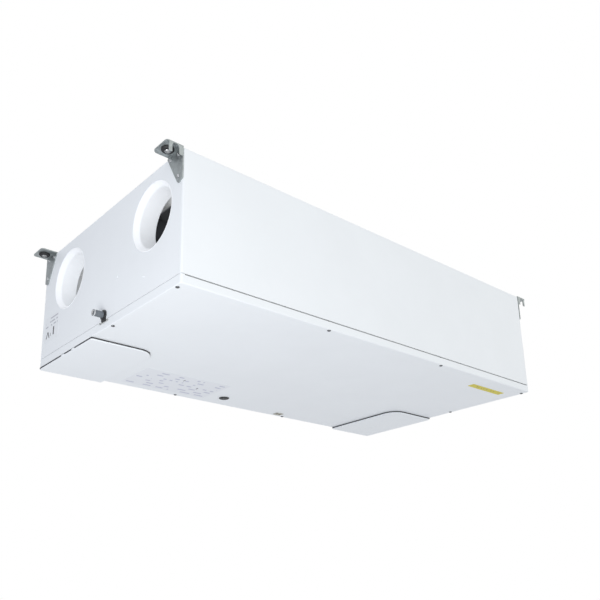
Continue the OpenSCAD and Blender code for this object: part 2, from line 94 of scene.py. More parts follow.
def islands(node):
    """Lowest and highest corners of each separate solid of a CAD node, in a steady order."""
    bm = bmesh.new()
    bm.from_mesh(nodes[node].data)
    bmesh.ops.remove_doubles(bm, verts=bm.verts, dist=1e-6)
    left = set(bm.verts)
    boxes = []
    while left:
        stack = [left.pop()]
        group = []
        while stack:
            v = stack.pop()
            group.append(v.co.copy())
            for e in v.link_edges:
                other = e.other_vert(v)
                if other in left:
                    left.remove(other)
                    stack.append(other)
        low = Vector([min(c[i] for c in group) for i in range(3)])
        high = Vector([max(c[i] for c in group) for i in range(3)])
        boxes.append((low, high))
    bm.free()
    return sorted(boxes, key=lambda b: [round(t, 4) for t in (*b[0], *b[1])])


def rounded_outline(x0, x1, y0, y1, radii, steps=8):
    """Closed outline, anticlockwise. radii are for (x0, y0), (x1, y0), (x1, y1) and (x0, y1)."""
    corners = [(x0, y0, 1, 1, 180), (x1, y0, -1, 1, 270), (x1, y1, -1, -1, 0), (x0, y1, 1, -1, 90)]
    points = []
    for (x, y, sx, sy, start), r in zip(corners, radii):
        for k in range(steps + 1):
            a = math.radians(start + 90 * k / steps)
            points.append((x + sx * r + r * math.cos(a), y + sy * r + r * math.sin(a)))
    return points


def circle_outline(x, y, r, steps=64):
    return [(x + r * math.cos(2 * math.pi * k / steps), y + r * math.sin(2 * math.pi * k / steps))
            for k in range(steps)]


def add_ring(bm, points, place):
    return [bm.verts.new(place(p)) for p in points]


def bridge(bm, low, high, skip=()):
    """Quads between two rings with the same count of points."""
    n = len(low)
    for i in range(n):
        if i not in skip:
            j = (i + 1) % n
            bm.faces.new((low[i], low[j], high[j], high[i]))


def fill_with_holes(bm, rings, flat):
    """Fills between an outer ring and the rings of its holes; flat gives a vert's 2D place."""
    loops = [[Vector((*flat(v), 0)) for v in ring] for ring in rings]
    verts = [v for ring in rings for v in ring]
    for a, b, c in tessellate_polygon(loops):
        if len({a, b, c}) == 3:
            bm.faces.new((verts[a], verts[b], verts[c]))


def plate(name, outline, holes, z0, z1, round_r, material, body, place=None, steps=4):
    """A flat plate between two levels with rounded outer and hole edges."""
    place = place or (lambda p, z: Vector((p[0], p[1], z)))
    bm = bmesh.new()
    r = min(round_r, (z1 - z0) * 0.49)

    def inset(points, amount):
        n = len(points)
        moved = []
        for i, p in enumerate(points):
            a, b = Vector(points[i - 1]), Vector(points[(i + 1) % n])
            along = b - a
            if along.length < 1e-9:
                moved.append(tuple(p))
                continue
            normal = Vector((-along.y, along.x)).normalized()
            moved.append((p[0] + normal.x * amount, p[1] + normal.y * amount))
        return moved

    levels = []
    for k in range(steps + 1):
        a = math.radians(90 * k / steps)
        levels.append((r * (1 - math.sin(a)), z0 + r * (1 - math.cos(a))))
    levels += [(d, z0 + z1 - z) for d, z in reversed(levels)]
    lows, highs = [], []
    for points, side in [(outline, 1)] + [(h, -1) for h in holes]:
        rings = [add_ring(bm, inset(points, d * side), lambda p, z=z: place(p, z))
                 for d, z in levels]
        for low, high in zip(rings, rings[1:]):
            bridge(bm, low, high)
        lows.append((rings[0], inset(points, levels[0][0] * side)))
        highs.append((rings[-1], inset(points, levels[-1][0] * side)))
    for group in (lows, highs):
        flat = {v: p for ring, points in group for v, p in zip(ring, points)}
        fill_with_holes(bm, [ring for ring, _ in group], lambda v: flat[v])
    return finish_mesh(name, bm, material, body)


def add_marks(points, xs, ys):
    """Adds points to the long straight runs of an outline where an edge of a cutout falls."""
    result = []
    for i, p in enumerate(points):
        q = points[(i + 1) % len(points)]
        result.append(p)
        if abs(p[0] - q[0]) < 1e-6 and abs(q[1] - p[1]) > 0.1:
            result += [(p[0], y) for y in sorted(ys, reverse=q[1] < p[1])]
        if abs(p[1] - q[1]) < 1e-6 and abs(q[0] - p[0]) > 0.1:
            result += [(x, p[1]) for x in sorted(xs, reverse=q[0] < p[0])]
    return result


def tray(name, box, radii, bend, holes, material, body, up=1, xs=(), ys=(), rim=None,
         is_open=None, sheet=SHEET):
    """A folded sheet tray: a plate at the low end of up, with rounded bends and walls.
    radii are its four corners; holes cut the plate; rim(x, y) lowers the wall's edge;
    is_open(p, q) leaves out the wall between two outline points."""
    (x0, y0, z_low), (x1, y1, z_high) = box
    plate_z, rim_z = (z_low, z_high) if up > 0 else (z_high, z_low)
    rim = rim or (lambda x, y: rim_z)
    bm = bmesh.new()

    def ring(inset, level):
        points = rounded_outline(x0 + inset, x1 - inset, y0 + inset, y1 - inset,
                                 [max(r - inset, 0.3 * MM) for r in radii])
        points = add_marks(points, xs, ys)
        return [bm.verts.new((x, y, level(x, y) if callable(level) else level))
                for x, y in points]

    outer, inner = [], []
    for rings, start, r in ((outer, 0, bend), (inner, sheet, bend - sheet)):
        for k in range(6):
            a = math.radians(18 * k)
            rings.append(ring(start + r * (1 - math.sin(a)),
                              plate_z + up * (start + r * (1 - math.cos(a)))))
        rings.append(ring(start, rim))
    count = len(outer[0])
    at = [(v.co.x, v.co.y) for v in outer[-1]]
    skip = {i for i in range(count) if is_open and is_open(at[i], at[(i + 1) % count])}
    for rings in (outer, inner):
        for k, (low, high) in enumerate(zip(rings, rings[1:])):
            bridge(bm, low, high, skip if k == len(rings) - 2 else ())
    bridge(bm, outer[-1], inner[-1], skip)
    for i in skip:
        j = (i + 1) % count
        bm.faces.new((outer[-2][i], outer[-2][j], inner[-2][j], inner[-2][i]))
        for e in (i, j):
            bm.faces.new((outer[-1][e], outer[-2][e], inner[-2][e], inner[-1][e]))
    sides = []
    for rings, z in ((outer, plate_z), (inner, plate_z + up * sheet)):
        hole_rings = [add_ring(bm, h, lambda p: (p[0], p[1], z)) for h in holes]
        fill_with_holes(bm, [rings[0]] + hole_rings, lambda v: (v.co.x, v.co.y))
        sides.append(hole_rings)
    for low, high in zip(*sides):
        bridge(bm, low, high)
    return finish_mesh(name, bm, material, body, smooth_angle=28)


def lathe(name, profile, origin, axis, material, body, steps=96, closed=True, angle=32):
    """Revolves (radius, height) points about an axis through origin."""
    axis = Vector(axis).normalized()
    side = axis.orthogonal().normalized()
    other = axis.cross(side)
    origin = Vector(origin)
    bm = bmesh.new()
    rings = []
    for r, h in profile:
        if r < 1e-7:
            rings.append([bm.verts.new(origin + axis * h)])
            continue
        rings.append([bm.verts.new(origin + axis * h
                                   + (side * math.cos(t) + other * math.sin(t)) * r)
                      for t in [2 * math.pi * k / steps for k in range(steps)]])
    pairs = list(zip(rings, rings[1:]))
    if closed:
        pairs.append((rings[-1], rings[0]))
    for low, high in pairs:
        if len(low) == 1 and len(high) == 1:
            continue
        for k in range(steps):
            j = (k + 1) % steps
            if len(low) == 1:
                bm.faces.new((low[0], high[j], high[k]))
            elif len(high) == 1:
                bm.faces.new((low[k], low[j], high[0]))
            else:
                bm.faces.new((low[k], low[j], high[j], high[k]))
    return finish_mesh(name, bm, material, body, smooth_angle=angle)


def arc(cx, cy, r, start, end, steps=6):
    return [(cx + r * math.cos(math.radians(start + (end - start) * k / steps)),
             cy + r * math.sin(math.radians(start + (end - start) * k / steps)))
            for k in range(steps + 1)]


def join(name, pieces):
    """Joins pieces of one body into the first, under a new name."""
    bm = bmesh.new()
    materials = []
    for p in pieces:
        base = len(bm.faces)
        bm.from_mesh(p.data)
        bm.faces.ensure_lookup_table()
        material = p.data.materials[0]
        if material not in materials:
            materials.append(material)
        for f in bm.faces[base:]:
            f.material_index = materials.index(material)
    mesh = bpy.data.meshes.new(name)
    bm.to_mesh(mesh)
    bm.free()
    for m in materials:
        mesh.materials.append(m)
    first = pieces[0]
    for p in pieces[1:]:
        bpy.data.objects.remove(p)
    first.data = mesh
    first.name = name
    return first


# ---------------------------------------------------------------- materials

def material(name, color, roughness, metallic=0.0, specular=0.5):
    """A plain material, which the functions below give its texture."""
    m = bpy.data.materials.new(name)
    m.use_nodes = True
    shader = m.node_tree.nodes["Principled BSDF"]
    shader.inputs["Base Color"].default_value = (*color, 1)
    shader.inputs["Roughness"].default_value = roughness
    shader.inputs["Metallic"].default_value = metallic
    shader.inputs["Specular IOR Level"].default_value = specular
    return m


class Nodes:
    """Short calls for adding shader nodes to a material."""

    def __init__(self, m):
        self.tree = m.node_tree
        self.shader = self.tree.nodes["Principled BSDF"]
        self.place = self.new("ShaderNodeTexCoord").outputs["Object"]

    def new(self, kind, **inputs):
        n = self.tree.nodes.new(kind)
        for key, value in inputs.items():
            socket = n.inputs[key.replace("_", " ")]
            if isinstance(value, bpy.types.NodeSocket):
                self.tree.links.new(value, socket)
            else:
                socket.default_value = value
        return n

    def noise(self, scale, detail=3.0, rough=0.5, vector=None):
        return self.new("ShaderNodeTexNoise", Vector=vector or self.place, Scale=scale,
                        Detail=detail, Roughness=rough).outputs["Fac"]

    def cells(self, scale, feature="F1", output="Distance", vector=None):
        n = self.new("ShaderNodeTexVoronoi", Vector=vector or self.place, Scale=scale)
        n.feature = feature
        return n.outputs[output]

    def maths(self, operation, a, b=0.0, c=0.0):
        n = self.tree.nodes.new("ShaderNodeMath")
        n.operation = operation
        for socket, value in zip(n.inputs, (a, b, c)):
            if isinstance(value, bpy.types.NodeSocket):
                self.tree.links.new(value, socket)
            else:
                socket.default_value = value
        return n.outputs[0]

    def span(self, value, low, high, to_low=0.0, to_high=1.0):
        n = self.new("ShaderNodeMapRange", Value=value)
        for key, number in zip(("From Min", "From Max", "To Min", "To Max"),
                               (low, high, to_low, to_high)):
            n.inputs[key].default_value = number
        return n.outputs["Result"]

    def mix(self, fac, a, b):
        n = self.tree.nodes.new("ShaderNodeMix")
        n.data_type = "RGBA"
        for socket, value in ((n.inputs[0], fac), (n.inputs[6], a), (n.inputs[7], b)):
            if isinstance(value, bpy.types.NodeSocket):
                self.tree.links.new(value, socket)
            elif isinstance(value, (int, float)):
                socket.default_value = value
            else:
                socket.default_value = (*value, 1)
        return n.outputs[2]

    def bump(self, height, distance, strength=1.0):
        return self.new("ShaderNodeBump", Height=height, Distance=distance,
                        Strength=strength).outputs["Normal"]

    def to(self, name, value):
        self.tree.links.new(value, self.shader.inputs[name])

    def axis(self, which):
        return self.new("ShaderNodeSeparateXYZ", Vector=self.place).outputs[which]


def shade(color, amount):
    return tuple(min(1.0, c * amount) for c in color)


def powder_coat(name, color):
    """White powder coat: satin, with orange peel and a trace of handling marks."""
    m = material(name, color, 0.38, specular=0.45)
    n = Nodes(m)
    peel = n.noise(420, 2.0, 0.45)
    fine = n.noise(1900, 1.0, 0.5)
    height = n.maths("ADD", n.maths("MULTIPLY", peel, 0.75), n.maths("MULTIPLY", fine, 0.25))
    n.to("Normal", n.bump(height, 0.00012, 0.35))
    marks = n.noise(7, 5.0, 0.65)
    n.to("Base Color", n.mix(n.span(marks, 0.35, 0.75), color, shade(color, 0.975)))
    n.to("Roughness", n.span(n.noise(16, 4.0, 0.6), 0.3, 0.7, 0.34, 0.44))
    return m


def bead_foam(name, color, bead=260, depth=0.00025, gap_shade=0.93, painted_glow=0.0, inside=None):
    """Moulded bead foam: packed beads with fine gaps darkened as painted shade; the glow is painted
    light, emission that brightens the foam though it is no lamp, and inside keeps it to the stretch
    where x is nearer the middle than that."""
    m = material(name, color, 0.72, specular=0.3)
    n = Nodes(m)
    edge = n.cells(bead, "DISTANCE_TO_EDGE")
    dome = n.cells(bead, "F1")
    # painted shade: the gaps between the beads are coloured darker than the beads
    crease = n.span(edge, 0.0, 0.12)
    n.to("Base Color", n.mix(crease, shade(color, gap_shade), color))
    height = n.maths("SUBTRACT", n.maths("MULTIPLY", crease, 0.6), n.maths("MULTIPLY", dome, 0.5))
    n.to("Normal", n.bump(height, depth, 0.6))
    # painted light: the foam is given an emission, so it looks lit though it is no lamp
    if painted_glow:
        n.shader.inputs["Emission Color"].default_value = (*color, 1)
        n.shader.inputs["Emission Strength"].default_value = painted_glow
    if inside:
        n.to("Emission Strength", n.span(n.maths("ABSOLUTE", n.axis(0)), inside, inside + 2 * MM,
                                         painted_glow, 0.0))
    return m


def galvanised(name, color):
    """Zinc-coated steel with spangle, a little dull and uneven."""
    m = material(name, color, 0.42, metallic=0.85)
    n = Nodes(m)
    tone = n.cells(170, "F1", "Color")
    grey = n.new("ShaderNodeRGBToBW", Color=tone).outputs[0]
    cloud = n.noise(45, 4.0, 0.6)
    both = n.maths("ADD", n.maths("MULTIPLY", grey, 0.6), n.maths("MULTIPLY", cloud, 0.4))
    n.to("Base Color", n.mix(n.span(both, 0.2, 0.8), shade(color, 0.78), shade(color, 1.16)))
    n.to("Roughness", n.span(grey, 0.1, 0.9, 0.34, 0.56))
    scratches = n.new("ShaderNodeMapping", Vector=n.place)
    scratches.inputs["Scale"].default_value = (40, 900, 900)
    fine = n.noise(1.0, 2.0, 0.5, scratches.outputs[0])
    n.to("Normal", n.bump(n.maths("ADD", fine, grey), 0.00005, 0.4))
    return m


def plastic(name, color, roughness=0.5, grain=1500, depth=0.00005):
    """Moulded plastic with a fine spark-eroded grain."""
    m = material(name, color, roughness)
    n = Nodes(m)
    n.to("Normal", n.bump(n.noise(grain, 2.0, 0.6), depth, 0.5))
    cloud = n.noise(30, 3.0, 0.6)
    n.to("Base Color", n.mix(n.span(cloud, 0.3, 0.7), shade(color, 0.9), shade(color, 1.08)))
    n.to("Roughness", n.span(cloud, 0.3, 0.7, roughness - 0.06, roughness + 0.06))
    return m


def metal(name, color, roughness=0.3, stretch=(60, 60, 1200)):
    """Plated or turned metal with fine brushing."""
    m = material(name, color, roughness, metallic=1.0)
    n = Nodes(m)
    brush = n.new("ShaderNodeMapping", Vector=n.place)
    brush.inputs["Scale"].default_value = stretch
    lines = n.noise(1.0, 3.0, 0.6, brush.outputs[0])
    n.to("Normal", n.bump(lines, 0.00003, 0.4))
    n.to("Roughness", n.span(lines, 0.3, 0.7, roughness - 0.08, roughness + 0.12))
    n.to("Base Color", n.mix(n.noise(80), shade(color, 0.85), shade(color, 1.1)))
    return m


def fleece(name, color):
    """Filter fleece: matted fibres that run every way."""
    m = material(name, color, 0.92, specular=0.2)
    n = Nodes(m)
    fibres = n.noise(900, 6.0, 0.75)
    clumps = n.noise(120, 4.0, 0.6)
    both = n.maths("ADD", n.maths("MULTIPLY", fibres, 0.6), n.maths("MULTIPLY", clumps, 0.4))
    n.to("Base Color", n.mix(n.span(both, 0.35, 0.65), shade(color, 0.8), shade(color, 1.06)))
    n.to("Normal", n.bump(both, 0.0006, 0.7))
    return m


def printed(name, paper, ink, row, letter, fill, area, marks=()):
    """A blank label: rows of plain printed dashes inside a margin, with no lettering.
    area gives the object axis and the limits of u and v; marks are open angles and bars."""
    m = material(name, paper, 0.42)
    n = Nodes(m)
    (u_axis, u0, u1), (v_axis, v0, v1) = area
    u, v = n.axis(u_axis), n.axis(v_axis)
    rows = n.maths("FRACT", n.maths("DIVIDE", n.maths("SUBTRACT", v, v0), row))
    in_row = n.maths("MULTIPLY", n.maths("GREATER_THAN", rows, 0.3),
                     n.maths("LESS_THAN", rows, 0.68))
    line = n.maths("FLOOR", n.maths("DIVIDE", n.maths("SUBTRACT", v, v0), row))
    place = n.new("ShaderNodeCombineXYZ", X=n.maths("MULTIPLY", u, 1 / letter),
                  Y=n.maths("MULTIPLY", line, 7.3)).outputs[0]
    words = n.new("ShaderNodeTexNoise", Vector=place, Scale=1.0, Detail=1.0).outputs["Fac"]
    dashes = n.maths("LESS_THAN", words, fill)
    margin = 1.0
    for value, low, high in ((u, u0, u1), (v, v0, v1)):
        inside = n.maths("MULTIPLY", n.maths("GREATER_THAN", value, low),
                         n.maths("LESS_THAN", value, high))
        margin = n.maths("MULTIPLY", margin, inside)
    mask = n.maths("MULTIPLY", n.maths("MULTIPLY", in_row, dashes), margin)
    tone = n.mix(mask, paper, ink)
    for kind, u_at, v_at, size in marks:
        du = n.maths("ABSOLUTE", n.maths("SUBTRACT", u, u_at))
        dv = n.maths("SUBTRACT", v, v_at)
        tall = n.maths("LESS_THAN", n.maths("ABSOLUTE", dv), size)
        if kind == "angle":
            slope = n.maths("ABSOLUTE", n.maths("ADD", n.maths("MULTIPLY", du, 2.0),
                                                n.maths("SUBTRACT", dv, size)))
            shape = n.maths("LESS_THAN", slope, size * 0.45)
        else:
            shape = n.maths("LESS_THAN", du, size * 0.28)
        tone = n.mix(n.maths("MULTIPLY", shape, tall), tone, (0.03, 0.03, 0.04))
    n.to("Base Color", tone)
    n.to("Normal", n.bump(n.noise(700), 0.00003, 0.3))
    return m


WHITE = (0.85, 0.885, 0.915)
mat = {
    "white_paint": powder_coat("white_powder_coat", WHITE),
    # the foam glows a little with painted light
    "foam": bead_foam("bead_foam", (0.82, 0.83, 0.83), painted_glow=0.1),
    "galvanised": galvanised("galvanised_steel", (0.43, 0.465, 0.465)),
    "rubber": plastic("rubber", (0.018, 0.018, 0.02), 0.62, 900),
    "zinc": metal("bright_zinc", (0.66, 0.67, 0.68)),
    "dark_plastic": plastic("dark_plastic", (0.05, 0.052, 0.056), 0.48),
    "tray_plastic": plastic("tray_plastic", (0.018, 0.018, 0.02), 0.4),
    "drain_plastic": plastic("drain_plastic", (0.16, 0.18, 0.2), 0.35),
    "motor_metal": metal("cast_aluminium", (0.6, 0.61, 0.62), 0.45, (900, 900, 900)),
    "fan_plastic": plastic("fan_plastic", (0.02, 0.02, 0.022), 0.42),
    "actuator_plastic": plastic("actuator_plastic", (0.62, 0.16, 0.02), 0.45),
    "bush_plastic": plastic("bush_plastic", (0.72, 0.7, 0.62), 0.4),
    "gland_plastic": plastic("gland_plastic", (0.14, 0.145, 0.15), 0.45),
    "cable_sheath": plastic("cable_sheath", (0.02, 0.02, 0.02), 0.55),
    "gasket": plastic("foam_gasket", (0.06, 0.06, 0.065), 0.9, 500, 0.0003),
    "screw_steel": metal("dark_steel", (0.16, 0.165, 0.17), 0.35, (900, 900, 900)),
    "filter": fleece("filter_fleece", (0.66, 0.71, 0.76)),
    "plug": plastic("plug_rubber", (0.012, 0.012, 0.013), 0.5, 900),
    "guide_plastic": plastic("guide_plastic", (0.62, 0.63, 0.64), 0.45),
    "terminal": plastic("terminal_plastic", (0.04, 0.25, 0.09), 0.4),
    "beige": plastic("clip_plastic", (0.45, 0.44, 0.38), 0.45),
}


def two_tone(name, base, other, axis, at, roughness=0.45):
    """One colour below a level along an object axis and another above it."""
    m = plastic(name, base, roughness)
    n = Nodes(m)
    above = n.maths("GREATER_THAN", n.axis(axis), at)
    cloud = n.noise(60, 3.0, 0.6)
    low = n.mix(cloud, shade(base, 0.85), shade(base, 1.15))
    high = n.mix(cloud, shade(other, 0.85), shade(other, 1.15))
    n.to("Base Color", n.mix(above, low, high))
    return m


def exchanger_film(name, color):
    """Edges of stacked thermoformed film, with a fine flow pattern."""
    m = material(name, color, 0.35, specular=0.6)
    n = Nodes(m)
    wave = n.new("ShaderNodeTexWave", Vector=n.place, Scale=90.0, Distortion=1.5, Detail=1.0)
    wave.bands_direction = "DIAGONAL"
    n.to("Base Color", n.mix(wave.outputs["Fac"], shade(color, 0.8), shade(color, 1.1)))
    n.to("Normal", n.bump(wave.outputs["Fac"], 0.0004, 0.5))
    return m


cad = {n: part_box(n) for n in nodes}
case_low, case_high = cad["casing_shell"]
END_X, SIDE_Y = case_high.x, case_high.y
ROOF, SEAM_Z = case_high.z, case_low.z
COVER = cad["service_cover"][0].z
board_face = cad["circuit_board"][0].y + 1.7 * MM
mat["board"] = two_tone("circuit_board", (0.02, 0.13, 0.05), (0.03, 0.03, 0.033), 1, board_face)
mat["exchanger_film"] = exchanger_film("exchanger_film", (0.5, 0.58, 0.62))


# ---------------------------------------------------------------- casing

WRAP = 9 * MM
CORNER = 4.5 * MM


def open_between(p, q):
    return abs(p[0] - q[0]) < 1e-6 and abs(p[1] - q[1]) > 0.3


shell = tray("casing_skin", (case_low, case_high), [CORNER] * 4, ROOF_BEND + 0.4 * MM, [],
             mat["white_paint"], "casing", up=-1,
             ys=(-SIDE_Y + WRAP, SIDE_Y - WRAP), is_open=open_between)
stands_for(shell, "casing_shell")
soften(shell, 0.25 * MM, 1, 60)

PANEL_TOP = ROOF - 2.4 * MM - SEAM
PANEL_SIDE = SIDE_Y - WRAP - SEAM
ducts = {}
for side in ("left", "right"):
    s = -1 if side == "left" else 1
    for place in ("near", "far"):
        m = mounts[f"duct_{place}_{side}"]
        ducts[place, side] = (m["pos_m"][1], m["pos_m"][2])
drain = mounts["drain_hose"]["pos_m"]
glands = [mounts[n]["pos_m"] for n in ("mains_gland", "control_gland")]
RIM_R = 73.2 * MM
for side, s in (("left", -1), ("right", 1)):
    holes = [circle_outline(*ducts[place, side], RIM_R, 96) for place in ("near", "far")]
    if side == "left":
        holes.append(circle_outline(drain[1], drain[2], 8.4 * MM, 32))
    else:
        holes += [circle_outline(g[1], g[2], 10.3 * MM, 32) for g in glands]
    outline = rounded_outline(-PANEL_SIDE, PANEL_SIDE, SEAM_Z + SEAM, PANEL_TOP, [0.6 * MM] * 4, 2)
    panel = plate(f"end_sheet_{side}", outline, holes, 0, SHEET, 0.35 * MM, mat["white_paint"],
                  "casing", lambda p, t, s=s: Vector((s * (END_X - t), p[0], p[1])), steps=2)
    stands_for(panel, f"end_panel_{side}")


def rivet(origin, axis, size, material):
    """Blind rivet: low dome with the broken mandrel in a dimple."""
    profile = [(size, 0)] + arc(size - 0.35 * MM, 0.25 * MM, 0.35 * MM, 0, 60, 3) + [
        (size * 0.62, 0.85 * MM), (size * 0.42, 0.95 * MM), (size * 0.36, 0.7 * MM),
        (size * 0.34, 0.35 * MM), (size * 0.14, 0.4 * MM), (0, 0.5 * MM)]
    return lathe("rivet", profile, origin, axis, material, "casing", 32, closed=False, angle=50)


dots = []
for low, high in islands("panel_rivets"):
    s = 1 if low.x > 0 else -1
    middle = (low + high) / 2
    dots.append(rivet(Vector((s * END_X, middle.y, middle.z)), (s, 0, 0), 3 * MM,
                      mat["white_paint"]))
rivets = join("rivets", dots)
stands_for(rivets, "panel_rivets")

# the socket liners glow with painted light where they lie inside the casing
mat["socket_foam"] = bead_foam("socket_foam", (0.78, 0.80, 0.825), bead=330, depth=0.00018,
                               gap_shade=0.95, painted_glow=0.28, inside=END_X)
for side, s in (("left", -1), ("right", 1)):
    for place in ("near", "far"):
        node = f"duct_socket_{place}_{side}"
        low, high = cad[node]
        deep = high.x - low.x
        y, z = ducts[place, side]
        r = 62.8 * MM
        profile = ([(r + 17 * MM, deep), (r + 17 * MM, 4 * MM), (r + 10 * MM, 4 * MM),
                    (r + 10 * MM, 1.2 * MM)]
                   + arc(r + 9 * MM, 1 * MM, 1 * MM, 0, -140, 6)
                   + [(r + 1.6 * MM, 8.4 * MM), (r + 0.7 * MM, 9.6 * MM), (r + 0.2 * MM, 11 * MM),
                      (r, 12.5 * MM), (r, deep - 2 * MM), (r + 0.6 * MM, deep - 0.6 * MM),
                      (r + 2 * MM, deep)])
        front = low.x if s < 0 else high.x
        socket = lathe(f"socket_{place}_{side}", profile, (front, y, z), (-s, 0, 0),
                       mat["socket_foam"], "casing", 144)
        stands_for(socket, node)


# ---------------------------------------------------------------- hangers

def screw_head(origin, axis, radius, height, material, body, lobes=6, drive=0.5):
    """Pan head with a rounded rim and a lobed drive recess."""
    axis = Vector(axis).normalized()
    side = axis.orthogonal().normalized()
    other = axis.cross(side)
    origin = Vector(origin)
    rings = [(radius, 0, 0), (radius, height * 0.35, 0)]
    for k in range(1, 5):
        a = math.radians(90 * k / 4)
        rings.append((radius * (0.62 + 0.38 * math.cos(a)),
                      height * (0.35 + 0.63 * math.sin(a)), 0))
    rings += [(radius * drive * 1.02, height, 0.14), (radius * drive * 0.94, height * 0.9, 0.16),
              (radius * drive * 0.9, height * 0.25, 0.16), (0, height * 0.2, 0)]
    bm = bmesh.new()
    made = []
    count = 48
    for r, h, wave in rings:
        if r == 0:
            made.append([bm.verts.new(origin + axis * h)])
            continue
        made.append([bm.verts.new(
            origin + axis * h + (side * math.cos(t) + other * math.sin(t))
            * r * (1 + wave * math.cos(lobes * t)))
            for t in [2 * math.pi * k / count for k in range(count)]])
    for low, high in zip(made, made[1:]):
        for k in range(count):
            j = (k + 1) % count
            if len(high) == 1:
                bm.faces.new((low[k], low[j], high[0]))
            else:
                bm.faces.new((low[k], low[j], high[j], high[k]))
    bm.faces.new(list(reversed(made[0])))
    return finish_mesh("screw", bm, material, body, 40)


for node in ("hanger_near_left", "hanger_far_left", "hanger_near_right", "hanger_far_right"):
    nodes[node].modifiers.new("weld", "WELD").merge_threshold = 1e-6
    soften(nodes[node], 0.35 * MM, 2)

heads = []
for low, high in islands("hanger_screws"):
    s = 1 if low.x > 0 else -1
    middle = (low + high) / 2
    heads.append(screw_head(Vector((s * (END_X + 2 * MM), middle.y, middle.z)), (s, 0, 0),
                            3.6 * MM, 1.8 * MM, mat["zinc"], "casing"))
stands_for(join("bracket_screws", heads), "hanger_screws")

rings, tubes = [], []
for low, high in islands("hanger_sleeves"):
    x, y = (low.x + high.x) / 2, (low.y + high.y) / 2
    z0, z1 = ROOF - 4.5 * MM, 0.0
    profile = ([(6.1 * MM, z1), (11.2 * MM, z1)]
               + arc(12 * MM, -1 * MM, 1 * MM, 90, -60, 6)
               + [(9 * MM, -2 * MM), (8 * MM, -2 * MM), (8 * MM, ROOF), (11 * MM, ROOF)]
               + arc(12 * MM, ROOF - 1.4 * MM, 1 * MM, 60, -50, 6)
               + [(11.2 * MM, z0 + 0.6 * MM), (10.4 * MM, z0), (6.1 * MM, z0)])
    rings.append(lathe("ring", profile, (x, y, 0), (0, 0, 1), mat["rubber"], "casing", 64))
    t0 = z0 - 1 * MM
    profile = [(4.5 * MM, t0 + 0.5 * MM), (4.8 * MM, t0), (5.7 * MM, t0), (6 * MM, t0 + 0.4 * MM),
               (6 * MM, z1 - 0.4 * MM), (5.7 * MM, z1), (4.9 * MM, z1), (4.5 * MM, z1 - 0.5 * MM)]
    tubes.append(lathe("tube", profile, (x, y, 0), (0, 0, 1), mat["zinc"], "casing", 48))
stands_for(join("grommets", rings), "hanger_grommets")
stands_for(join("spacer_tubes", tubes), "hanger_sleeves")


# ---------------------------------------------------------------- service cover and hatches

cover_low, cover_high = cad["service_cover"]
hatch_low, hatch_high = cad["filter_hatch_left"]
HATCH_X = hatch_high.x
HATCH_Y = hatch_low.y


def hatch_hole(s):
    points = rounded_outline(-548 * MM, -408 * MM, 46 * MM, 288 * MM,
                             [3 * MM, 12 * MM, 3 * MM, 3 * MM], 6)
    return [(s * -x, y) for x, y in (points if s < 0 else reversed(points))]


plug_low, plug_high = cad["cover_plug"]
plug_at = ((plug_low.x + plug_high.x) / 2, (plug_low.y + plug_high.y) / 2)
screw_places = [((lo.x + hi.x) / 2, (lo.y + hi.y) / 2) for lo, hi in islands("cover_screws")]
holes = [hatch_hole(-1), hatch_hole(1), circle_outline(*plug_at, 11.4 * MM, 48)]
holes += [circle_outline(x, y, 2.2 * MM, 16) for x, y in screw_places]
NOTCH = (drain[1] - 19 * MM, drain[1] + 21 * MM)
EPS = 0.02 * MM
HATCH_GAP = 2 * MM
# how far the dark strip of painted shadow in the hatch gap reaches past the hatch
GAP_SHADOW_PROUD = 0.3 * MM


def cover_rim(x, y):
    if x < -END_X + 3 * MM and NOTCH[0] <= y <= NOTCH[1]:
        return SEAM_Z - 6 * MM
    if abs(y) > SIDE_Y - 3 * MM and abs(x) < END_X - 8 * MM:
        return SEAM_Z - 3 * MM
    return cover_high.z


cover = tray("cover_tray", (cover_low, cover_high), [CORNER] * 4, 2.6 * MM, holes,
             mat["white_paint"], "service_cover", up=1, rim=cover_rim,
             xs=(-END_X + 8 * MM, -END_X + 8 * MM + EPS, END_X - 8 * MM - EPS, END_X - 8 * MM),
             ys=(NOTCH[0] - EPS, NOTCH[0], NOTCH[1], NOTCH[1] + EPS))
stands_for(cover, "service_cover")

for side, s in (("left", -1), ("right", 1)):
    low, high = cad[f"filter_hatch_{side}"]
    radii = [CORNER, 40 * MM, 2.5 * MM, CORNER] if s < 0 else [40 * MM, CORNER, CORNER, 2.5 * MM]
    low, high = low.copy(), high.copy()
    low.x, high.x = max(low.x, -END_X), min(high.x, END_X)
    lid = tray(f"hatch_{side}", (low, Vector((high.x, high.y, COVER - HATCH_GAP))), radii,
               2.2 * MM, [], mat["white_paint"], f"filter_hatch_{side}", up=1)
    knuckles = []
    for y in (118 * MM, 168 * MM):
        r = 1.35 * MM
        profile = [(0, 0), (r - 0.3 * MM, 0), (r, 0.3 * MM), (r, 6.8 * MM), (r * 0.9, 7 * MM),
                   (r, 7.2 * MM), (r, 13.7 * MM), (r - 0.3 * MM, 14 * MM), (0, 14 * MM)]
        knuckles.append(lathe("knuckle", profile, (s * END_X, y, COVER - 2.4 * MM), (0, 1, 0),
                              mat["white_paint"], f"filter_hatch_{side}", 32, closed=False))
    lid = join(f"hatch_{side}", [lid] + knuckles)
    stands_for(lid, f"filter_hatch_{side}")

